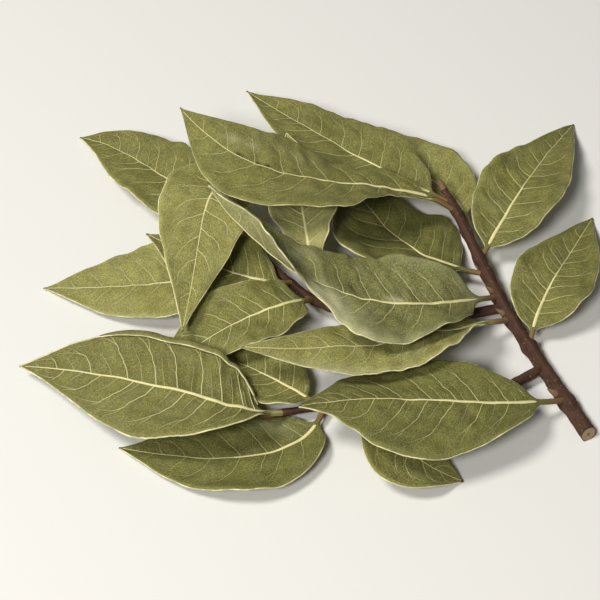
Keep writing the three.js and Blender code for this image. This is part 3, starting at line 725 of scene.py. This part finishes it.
tan_stalk = (0.22, 0.135, 0.055)
pale_stalk = (0.60, 0.51, 0.22)
leaf_finishes = {
    "olive": leaf_finish(
        "olive leaf", (0.200, 0.190, 0.048), (0.140, 0.136, 0.032), (0.30, 0.28, 0.085), 0.10, tan_stalk
    ),
    "dark": leaf_finish(
        "dark olive leaf", (0.160, 0.155, 0.036), (0.110, 0.108, 0.024), (0.26, 0.245, 0.07), 0.15,
        tan_stalk,
    ),
    "pale": leaf_finish(
        "pale leaf", (0.280, 0.264, 0.074), (0.208, 0.197, 0.052), (0.48, 0.455, 0.18), 0.12, tan_stalk
    ),
    "dusty": leaf_finish(
        "dusty leaf", (0.172, 0.169, 0.046), (0.128, 0.126, 0.033), (0.33, 0.315, 0.13), 0.62, tan_stalk
    ),
    "under": leaf_finish(
        "leaf underside up", (0.19, 0.18, 0.05), (0.14, 0.13, 0.04), (0.180, 0.171, 0.043), 0.10,
        pale_stalk,
    ),
}

leaves = {}
for number, (name, row) in enumerate(leaf_rows.items()):
    leaf = {**leaf_defaults, **row, "number": number + 1}
    leaf["points"] = np.array(leaf["midrib"], float) + plan_shift
    line = midrib_point(leaf, np.linspace(leaf["stalk"], 1, 200))
    leaf["length"] = float(np.linalg.norm(np.diff(line, axis=0), axis=1).sum())
    leaf["veins"] = side_veins(leaf)
    leaves[name] = leaf
    blade = blade_piece(name + "_blade", leaf)
    blade.data.materials.append(leaf_finishes[leaf["finish"]])
    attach(blade, "root")
    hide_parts(name)


# ---------------------------------------------------------------------------------------------
# Veins and edges. A pale tough midrib, side veins that arch and fork toward the margin, and the
# hard cream bead that runs round the blade. Each is a rib that follows a line on the leaf.


def new_tree(name, inputs, result):
    """A node group with named inputs of the given kinds, and the sockets that give their values."""
    tree = bpy.data.node_groups.new(name, "GeometryNodeTree")
    for key, kind in inputs.items():
        tree.interface.new_socket(key, in_out="INPUT", socket_type="NodeSocket" + kind)
    tree.interface.new_socket(result, in_out="OUTPUT", socket_type="NodeSocketGeometry")
    return tree, tree.nodes.new("NodeGroupInput").outputs


def stored(tree, name, kind):
    return add_node(
        tree, "GeometryNodeInputNamedAttribute", {"Name": name}, data_type=kind
    ).outputs["Attribute"]


def end_tree(tree, geometry, finish):
    """The end of a tree: instances made real, the finish set on them, and the output."""
    real = add_node(tree, "GeometryNodeRealizeInstances", {"Geometry": geometry})
    painted = add_node(
        tree, "GeometryNodeSetMaterial", {"Geometry": real.outputs["Geometry"], "Material": finish}
    )
    tree.links.new(painted.outputs["Geometry"], tree.nodes.new("NodeGroupOutput").inputs[0])


rib_tree, rib_inputs = new_tree(
    "ribs along lines", {"Lines": "Geometry", "Sides": "Int", "Finish": "Material"}, "Ribs"
)
rib_curve = add_node(rib_tree, "GeometryNodeMeshToCurve", {"Mesh": rib_inputs["Lines"]})
rib_section = add_node(
    rib_tree, "GeometryNodeCurvePrimitiveCircle", {"Resolution": rib_inputs["Sides"], "Radius": 1.0}
)
rib_tube = add_node(
    rib_tree,
    "GeometryNodeCurveToMesh",
    {
        "Curve": rib_curve.outputs["Curve"],
        "Profile Curve": rib_section.outputs["Curve"],
        "Scale": stored(rib_tree, "radius_here", "FLOAT"),
        "Fill Caps": True,
    },
)
rib_smooth = add_node(rib_tree, "GeometryNodeSetShadeSmooth", {"Geometry": rib_tube.outputs["Mesh"]})
end_tree(rib_tree, rib_smooth.outputs["Geometry"], rib_inputs["Finish"])


def socket_name(tree, name):
    for item in tree.interface.items_tree:
        if item.name == name and item.in_out == "INPUT":
            return item.identifier
    raise KeyError(name)


def grown(source, tree, inputs, name):
    """The plain mesh that a node tree grows on an object, as a new piece in its place."""
    modifier = source.modifiers.new("grow", "NODES")
    modifier.node_group = tree
    for key, value in inputs.items():
        modifier[socket_name(tree, key)] = value
    bpy.context.view_layer.update()
    evaluated = source.evaluated_get(bpy.context.evaluated_depsgraph_get())
    mesh = bpy.data.meshes.new_from_object(evaluated)
    source.modifiers.clear()
    bpy.data.objects.remove(source)
    mesh.name = name
    return in_room(name, mesh)


def line_piece(name, lines):
    """Loose polylines with a radius and a tone at every point, for the rib tree."""
    points, radii, tones = (np.concatenate(rows) for rows in zip(*lines))
    edges = []
    start = 0
    for line in lines:
        edges += [(start + i, start + i + 1) for i in range(len(line[0]) - 1)]
        start += len(line[0])
    piece = new_piece(name, points * MM, edges=edges)
    point_values(piece.data, "radius_here", radii * MM)
    point_values(piece.data, "tone", tones)
    return piece


# Ribs in millimetres: the step between a midrib's points, its radius at the tip and what it gains
# down to its foot, the edge bead's radius at the blade's foot and what that gains, and the radius
# at the bend of a roll. The tones say how cream each is.
rib_step = 1.2
midrib_tip = 0.10
midrib_gain_above = 0.12
midrib_gain_below = 0.62
bead_foot = 0.08
bead_gain = 0.10
bend_radius = 0.13
midrib_tone = 1.0
bend_tone = 1.2
bead_tone = 1.3


def on_face(leaf, u, distance, radius, face, proud):
    """Centres of a rib sunk in one face of the blade (1 upper, -1 lower) with a share proud."""
    t = curve_share(leaf, u)
    centre = blade_point(leaf, t, distance)
    way, normal = face_way(leaf, t, distance)
    depth = (blade_thickness / 2 - radius * (1 - proud))[..., None]
    return centre + way * depth if face > 0 else centre - normal * depth


def leaf_lines(leaf):
    """Points, radii and tones of every rib: midrib, side veins, edge bead and a roll's bend."""
    lines = []
    for face in (1, -1):
        below = (face > 0) == leaf["turned"]
        size = 1.35 if below else 1.0
        proud = 0.9 if below else 0.7
        u = np.linspace(0.0, 0.985, int(leaf["length"] / rib_step))
        spread = np.linspace(1, 0, len(u)) ** 0.9
        radius = midrib_tip + (midrib_gain_below if below else midrib_gain_above) * spread
        centre = on_face(leaf, u, u * 0.0, radius, face, 0.75 if below else 0.55)
        lines.append((centre, radius, np.full(len(u), midrib_tone)))
        for vein in leaf["veins"]:
            u, distance, radius, tone = vein.T
            radius = radius * size
            centre = on_face(leaf, u, distance, radius, face, proud)
            lines.append((centre, radius, tone))
    u = 0.5 - 0.5 * np.cos(np.linspace(0.02, 1, int(leaf["length"] / (rib_step / 2))) * np.pi)
    u = np.clip(u, 0.015, 0.997)
    t = curve_share(leaf, u)
    opened = smooth(u / 0.1)
    both = []
    for side in (-1, 1):
        reach = np.maximum(edge_distance(leaf, u, side), 0.1)
        distance = side * ((1 - opened) * stalk_radius * 0.95 + opened * reach)
        under = blade_normal(leaf, t, distance * 0.995) * (1 if leaf["turned"] else -1)
        both.append(blade_point(leaf, t, distance) + 0.08 * under * opened[:, None])
    rim = np.concatenate([both[0], both[1][::-1]])
    thin = leaf["edge"] * (bead_foot + bead_gain * smooth(u / 0.12))
    lines.append((rim, np.concatenate([thin, thin[::-1]]), np.full(len(rim), bead_tone)))
    strip = eased(leaf["rolled"], u)
    if strip.max() > 0:
        distance = -half_width(leaf, u, -1) * (roll_start + 0.27 * (1 - roll_start))
        bend = blade_point(leaf, t, distance) - 0.16 * blade_normal(leaf, t, distance)
        kept = strip > 0.5
        lines.append((bend[kept], np.full(kept.sum(), bend_radius), np.full(kept.sum(), bend_tone)))
    return lines


def vein_finish():
    """Pale straw, greener where a vein is faint, mottled, and worn dull along the edge bead."""
    material, tree, shader = surface("vein and edge", 0.55, 0.35)
    place = object_place(tree)
    tone = attribute(tree, "tone")
    mottle = ramp(tree, noise(tree, place, 700.0, 2.0, 0.6), 0.35, 0.7, 0.0, 0.22)
    colour = blend_colour(tree, ramp(tree, tone, 0.1, 0.95), (0.24, 0.225, 0.07), (0.82, 0.76, 0.39))
    cream = ramp(tree, tone, midrib_tone, bead_tone)
    colour = layered(tree, colour, (cream, (0.86, 0.80, 0.47)), (mottle, (0.33, 0.27, 0.10)))
    wear = ramp(tree, noise(tree, place, 260.0, 2.0, 0.6), 0.35, 0.65, 0.55, 1.1)
    worn = blend_colour(tree, 1.0, colour, wear, "MULTIPLY")
    colour = blend_colour(tree, ramp(tree, tone, midrib_tone, bend_tone), colour, worn)
    tree.links.new(colour, shader.inputs["Base Color"])
    return material


straw = vein_finish()
for name, leaf in leaves.items():
    lines = line_piece(name + "_lines", leaf_lines(leaf))
    ribs = grown(lines, rib_tree, {"Sides": 6, "Finish": straw}, name + "_veins")
    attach(ribs, "root")
    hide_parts(name)


# ---------------------------------------------------------------------------------------------
# Twig. One woody piece with a cut end, two side shoots, a swelling where each leaf stands, and
# thin reddish-brown bark that has shrunk into lengthwise wrinkles.

# Each row of a shoot is a place in plan, a height and a radius.
shoots = {
    "main": [
        (77.5, -41, 1.9, 2.3), (68, -21.5, 2.5, 2), (58.5, -2, 4, 1.8), (52.5, 13, 6, 1.6),
        (47, 27, 9, 1.4), (42, 37.5, 12, 1.1),
    ],
    "upper": [
        (58, 0.5, 4, 1.5), (42, -2.5, 3.5, 1.4), (25, -4, 4, 1.3), (10, -1.5, 5.5, 1.2),
        (0, 5, 6, 1.15), (-10.5, 17, 6.5, 1), (-16.5, 30, 7, 0.8),
    ],
    "lower": [
        (67.5, -19.5, 3, 1.4), (52, -28, 3, 1.3), (32.5, -30.5, 3, 1.2), (13.5, -31, 3.5, 1.1),
        (0, -34.5, 4, 1), (-7, -36, 4, 0.8),
    ],
}
node_swell = 0.32
node_length = 1.8
cut_slant = 0.7
bark_sides = 40
bark_step = 0.5
# Shares of a shoot's radius.
wrinkle_depth = 0.035
ring_depth = 0.05
knot_depth = 0.02


def shoot_point(shoot, t):
    """A smooth curve through a shoot's points, with t from 0 to 1 and the radius kept straight."""
    rows = np.array(shoot, float)
    rows[:, :3] += plan_shift
    padded = np.concatenate([[2 * rows[0] - rows[1]], rows, [2 * rows[-1] - rows[-2]]])
    position = np.clip(t, 0, 1) * (len(rows) - 1)
    index = np.minimum(position.astype(int), len(rows) - 2)
    w = (position - index)[..., None]
    a, b, c, d = (padded[index + i][..., :3] for i in range(4))
    point = 0.5 * (
        2 * b + (c - a) * w + (2 * a - 5 * b + 4 * c - d) * w**2 + (3 * b - a - 3 * c + d) * w**3
    )
    radius = rows[index, 3] * (1 - w[..., 0]) + rows[index + 1, 3] * w[..., 0]
    return point, radius


feet = np.array([leaf["points"][0] for leaf in leaves.values()])


def shoot_radius(point, radius):
    apart = np.linalg.norm(point[..., None, :] - feet, axis=-1)
    return radius * (1 + node_swell * np.exp(-((apart / node_length) ** 2)).max(-1))


def shoot_slope(shoot, t):
    ahead = shoot_point(shoot, np.minimum(t + 1e-4, 1))[0]
    return unit(ahead - shoot_point(shoot, np.maximum(t - 1e-4, 0))[0])


def tube_faces(rows, sides):
    """Faces of rings of points, closed by a fan at each end; the two end points come last."""
    index = np.arange(rows * sides).reshape(rows, sides)
    turned = np.roll(index, -1, axis=1)
    faces = np.stack([index[:-1], turned[:-1], turned[1:], index[1:]], -1).reshape(-1, 4).tolist()
    last = rows * sides
    faces += [[last, turned[0, j], index[0, j]] for j in range(sides)]
    faces += [[last + 1, index[-1, j], turned[-1, j]] for j in range(sides)]
    return faces


def shoot_shell(shoot, seed):
    """Points and faces of one wrinkled shoot, closed at both ends."""
    probe = shoot_point(shoot, np.linspace(0, 1, 400))[0]
    length = np.linalg.norm(np.diff(probe, axis=0), axis=1).sum()
    rows = int(length / bark_step)
    t = np.linspace(0, 1, rows)
    point, radius = shoot_point(shoot, t)
    radius = shoot_radius(point, radius)
    along = shoot_slope(shoot, t)
    side = unit(np.cross(up, along))
    top = np.cross(along, side)
    turn = np.arange(bark_sides) * 2 * np.pi / bark_sides
    draw = np.random.default_rng(seed)
    s = (t * length)[:, None]
    relief = np.zeros((rows, bark_sides))
    for ridges in (5, 7, 9, 12):
        drift = draw.uniform(-0.05, 0.05)
        sway = 0.8 * np.sin(s / draw.uniform(5, 11) + draw.uniform(0, 6.3))
        relief += np.sin(ridges * turn + drift * s + sway + draw.uniform(0, 6.3)) / (2 + ridges / 4)
    rings = sum(np.exp(-(((s - place) / 0.35) ** 2)) for place in draw.uniform(4, length - 4, 9))
    knots = np.sin(s * 1.9 + 2 * np.sin(turn * 2))
    bumps = wrinkle_depth * relief + ring_depth * rings + knot_depth * knots
    girth = radius[:, None] * (1 + bumps)
    ring = side[:, None] * np.cos(turn)[:, None] + top[:, None] * np.sin(turn)[:, None]
    shell = point[:, None] + ring * girth[..., None]
    shell[0] += along[0] * cut_slant * np.sin(turn)[:, None]
    shell[..., 2] = np.maximum(shell[..., 2], 0.0)
    points = np.concatenate([shell.reshape(-1, 3), point[:1], point[-1:]])
    faces = tube_faces(rows, bark_sides)
    return points, faces, np.tile(turn, rows), np.repeat(t * length, bark_sides)


all_points = []
all_faces = []
bark_turn = []
bark_along = []
cut_faces = []
for seed, (name, shoot) in enumerate(shoots.items()):
    points, faces, turn, along = shoot_shell(shoot, seed + 40)
    start = sum(len(p) for p in all_points)
    if name == "main":
        first_cap = len(all_faces) + len(faces) - 2 * bark_sides
        cut_faces = list(range(first_cap, first_cap + bark_sides))
    all_points.append(points)
    all_faces += [[start + i for i in face] for face in faces]
    bark_turn += [*turn, 0.0, 0.0]
    bark_along += [*along, 0.0, along[-1]]


def bark_finish():
    """Dark reddish skin in patches, with lighter streaks along its wrinkles and a dusty grain."""
    material, tree, shader = surface("reddish-brown bark", 0.75, 0.3)
    millimetres = in_millimetres(tree)
    streak = ramp(tree, attribute(tree, "streak"), -0.5, 1.0, 0.0, 0.5)
    patch = ramp(tree, noise(tree, millimetres, 0.35, 3.0, 0.6), 0.35, 0.7)
    grain = noise(tree, millimetres, 4.0, 3.0, 0.65)
    dust = ramp(tree, grain, 0.5, 0.75, 0.0, 0.45)
    colour = blend_colour(tree, patch, (0.034, 0.013, 0.007), (0.078, 0.032, 0.016))
    colour = layered(tree, colour, (streak, (0.105, 0.052, 0.028)), (dust, (0.16, 0.105, 0.065)))
    tree.links.new(colour, shader.inputs["Base Color"])
    bump = add_node(tree, "ShaderNodeBump", {"Height": grain, "Strength": 0.6, "Distance": 0.0002})
    tree.links.new(bump.outputs["Normal"], shader.inputs["Normal"])
    return material


def cut_finish():
    """Tan wood with a dark pith, thin growth rings round it and the bark's dark skin outside."""
    material, tree, shader = surface("cut wood", 0.8)
    place = object_place(tree)
    middle = ((np.array(shoots["main"][0][:3]) + plan_shift) * MM).tolist()
    reach = add_node(
        tree, "ShaderNodeVectorMath", {0: place, 1: middle}, operation="DISTANCE"
    ).outputs["Value"]
    wave = reckoned(tree, "SINE", times(tree, reach, 15000.0))
    colour = blend_colour(
        tree, noise(tree, place, 2500.0, 3.0, 0.6), (0.30, 0.20, 0.11), (0.50, 0.37, 0.22)
    )
    colour = layered(
        tree,
        colour,
        (ramp(tree, reach, 0.35 * MM, 0.55 * MM, 0.8, 0.0), (0.10, 0.05, 0.025)),
        (ramp(tree, wave, 0.2, 1.0, 0.0, 0.4), (0.20, 0.12, 0.06)),
        (ramp(tree, reach, 1.95 * MM, 2.15 * MM, 0.0, 0.9), (0.075, 0.032, 0.018)),
    )
    tree.links.new(colour, shader.inputs["Base Color"])
    return material


bark = bark_finish()
twig = new_piece("twig_wood", np.concatenate(all_points) * MM, all_faces)
twig.data.shade_smooth()
bark_turn = np.array(bark_turn)
streak = np.sin(9 * bark_turn + 0.05 * np.array(bark_along)) * np.cos(4 * bark_turn + 1)
point_values(twig.data, "streak", streak)
twig.data.materials.append(bark)
twig.data.materials.append(cut_finish())
for index in cut_faces:
    twig.data.polygons[index].material_index = 1
    twig.data.polygons[index].use_smooth = False
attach(twig, "root")
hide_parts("twig")


# ---------------------------------------------------------------------------------------------
# Lenticels. Small pale corky pores scattered over the bark, each a low oval wart that broke
# through the skin of the shoot. They grow from the twig and are a lighter tan than the bark.


def grainy(name, scale, dark, light, roughness):
    """A finish with a fine grain between a dark and a light tone."""
    material, tree, shader = surface(name, roughness)
    grain = noise(tree, object_place(tree), scale, 3.0, 0.6)
    tree.links.new(blend_colour(tree, grain, dark, light), shader.inputs["Base Color"])
    return material


pore_tree, pore_inputs = new_tree(
    "pores on the bark",
    {
        "Bark": "Geometry", "Skin": "Material", "Density": "Float", "Lowest": "Float", "Seed": "Int",
        "Smallest": "Float", "Largest": "Float", "Finish": "Material",
    },
    "Pores",
)
pore_skin = add_node(pore_tree, "GeometryNodeMaterialSelection", {"Material": pore_inputs["Skin"]})
pore_place = add_node(pore_tree, "GeometryNodeInputPosition").outputs["Position"]
pore_height = add_node(pore_tree, "ShaderNodeSeparateXYZ", {"Vector": pore_place}).outputs["Z"]
pore_clear = reckoned(pore_tree, "GREATER_THAN", pore_height, pore_inputs["Lowest"])
pore_points = add_node(
    pore_tree,
    "GeometryNodeDistributePointsOnFaces",
    {
        "Mesh": pore_inputs["Bark"],
        "Selection": pore_skin.outputs["Selection"],
        "Density": times(pore_tree, pore_clear, pore_inputs["Density"]),
        "Seed": pore_inputs["Seed"],
    },
)
pore_form = add_node(pore_tree, "GeometryNodeMeshIcoSphere", {"Radius": 1.0, "Subdivisions": 2})
pore_flat = add_node(
    pore_tree,
    "GeometryNodeTransform",
    {"Geometry": pore_form.outputs["Mesh"], "Scale": (0.75, 1.3, 0.45)},
)
pore_size = add_node(
    pore_tree,
    "FunctionNodeRandomValue",
    {2: pore_inputs["Smallest"], 3: pore_inputs["Largest"], "Seed": 5},
    data_type="FLOAT",
)
pore_copies = add_node(
    pore_tree,
    "GeometryNodeInstanceOnPoints",
    {
        "Points": pore_points.outputs["Points"],
        "Instance": pore_flat.outputs["Geometry"],
        "Rotation": pore_points.outputs["Rotation"],
        "Scale": pore_size.outputs[1],
    },
)
pore_smooth = add_node(
    pore_tree, "GeometryNodeSetShadeSmooth", {"Geometry": pore_copies.outputs["Instances"]}
)
end_tree(pore_tree, pore_smooth.outputs["Geometry"], pore_inputs["Finish"])

pore_values = {
    "Skin": bark, "Density": 90000.0, "Lowest": 0.6 * MM, "Seed": 7,
    "Smallest": 0.10 * MM, "Largest": 0.24 * MM,
    "Finish": grainy("corky pores", 1800.0, (0.09, 0.045, 0.025), (0.30, 0.21, 0.13), 0.85),
}
bark_copy = in_room("bark_copy", twig.data.copy())
pores = grown(bark_copy, pore_tree, pore_values, "twig_lenticels")
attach(pores, "root")
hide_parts("twig")


# ---------------------------------------------------------------------------------------------
# Buds. A small pointed bud of overlapping scales sits in the angle above each stalk, and a
# larger one ends each shoot. They grow from the twig, so they carry its colour, a little greener.


def bud_form():
    """A unit bud along +Z whose outline steps in where each scale ends."""
    rings = 22
    sides = 14
    h = np.linspace(0, 1, rings)
    turn = np.arange(sides) * 2 * np.pi / sides
    outline = np.interp(h, [0, 0.25, 0.5, 0.75, 1], [0.75, 1.0, 0.92, 0.6, 0.08])
    lap = (h[:, None] * 4.0 + turn / (2 * np.pi) * 2.0) % 1.0
    outline = outline[:, None] * (1.06 - 0.16 * lap)
    shell = np.stack(
        [outline * np.cos(turn), outline * np.sin(turn), np.repeat(h[:, None], sides, 1)], -1
    )
    points = np.concatenate([shell.reshape(-1, 3), [(0, 0, 0)], [(0, 0, 1.02)]])
    form = new_piece("bud_form", points, tube_faces(rings, sides))
    form.data.shade_smooth()
    return form


bud_tree, bud_inputs = new_tree(
    "buds on the twig", {"Places": "Geometry", "Bud": "Object", "Finish": "Material"}, "Buds"
)
bud_object = add_node(bud_tree, "GeometryNodeObjectInfo", {"Object": bud_inputs["Bud"]})
bud_axis = stored(bud_tree, "axis", "FLOAT_VECTOR")
bud_turn = add_node(bud_tree, "FunctionNodeAlignRotationToVector", {"Vector": bud_axis}, axis="Z")
bud_copies = add_node(
    bud_tree,
    "GeometryNodeInstanceOnPoints",
    {
        "Points": bud_inputs["Places"],
        "Instance": bud_object.outputs["Geometry"],
        "Rotation": bud_turn.outputs["Rotation"],
        "Scale": stored(bud_tree, "size", "FLOAT_VECTOR"),
    },
)
end_tree(bud_tree, bud_copies.outputs["Instances"], bud_inputs["Finish"])

# Shares of the shoot's radius, and the length in millimetres of the bud at a shoot's end.
bud_width = 0.42
bud_length = 1.9
end_bud_width = 1.1
end_bud_length = 5.0
bud_places = []
bud_axes = []
bud_sizes = []
for leaf in leaves.values():
    best = None
    for shoot in shoots.values():
        t = np.linspace(0, 1, 101)
        point, radius = shoot_point(shoot, t)
        apart = np.linalg.norm(point - leaf["points"][0], axis=1)
        k = int(apart.argmin())
        if best is None or apart[k] < best[0]:
            girth = shoot_radius(point[k : k + 1], radius[k : k + 1])[0]
            best = (apart[k], point[k], girth, shoot_slope(shoot, t[k : k + 1])[0])
    _, point, girth, along = best
    along_leaf = unit(leaf["points"][1] - leaf["points"][0])
    bud_places.append(point + along * girth * 0.5)
    bud_axes.append(unit(along * 0.9 + along_leaf))
    bud_sizes.append((girth * bud_width, girth * bud_width, girth * bud_length))
for shoot in shoots.values():
    point = shoot_point(shoot, np.array([0.985]))[0][0]
    bud_places.append(point)
    bud_axes.append(shoot_slope(shoot, np.array([1.0]))[0])
    wide = shoot[-1][3] * end_bud_width
    bud_sizes.append((wide, wide, end_bud_length))

bud_source = new_piece("bud_places", np.array(bud_places) * MM)
for key, rows in (("axis", bud_axes), ("size", np.array(bud_sizes) * MM)):
    values = bud_source.data.attributes.new(key, "FLOAT_VECTOR", "POINT")
    values.data.foreach_set("vector", np.array(rows, np.float32).ravel())
bud_scales = grainy("bud scales", 1500.0, (0.10, 0.045, 0.02), (0.24, 0.15, 0.06), 0.65)
bud_one = bud_form()
buds = grown(bud_source, bud_tree, {"Bud": bud_one, "Finish": bud_scales}, "twig_buds")
bpy.data.objects.remove(bud_one)
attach(buds, "root")
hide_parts("twig")
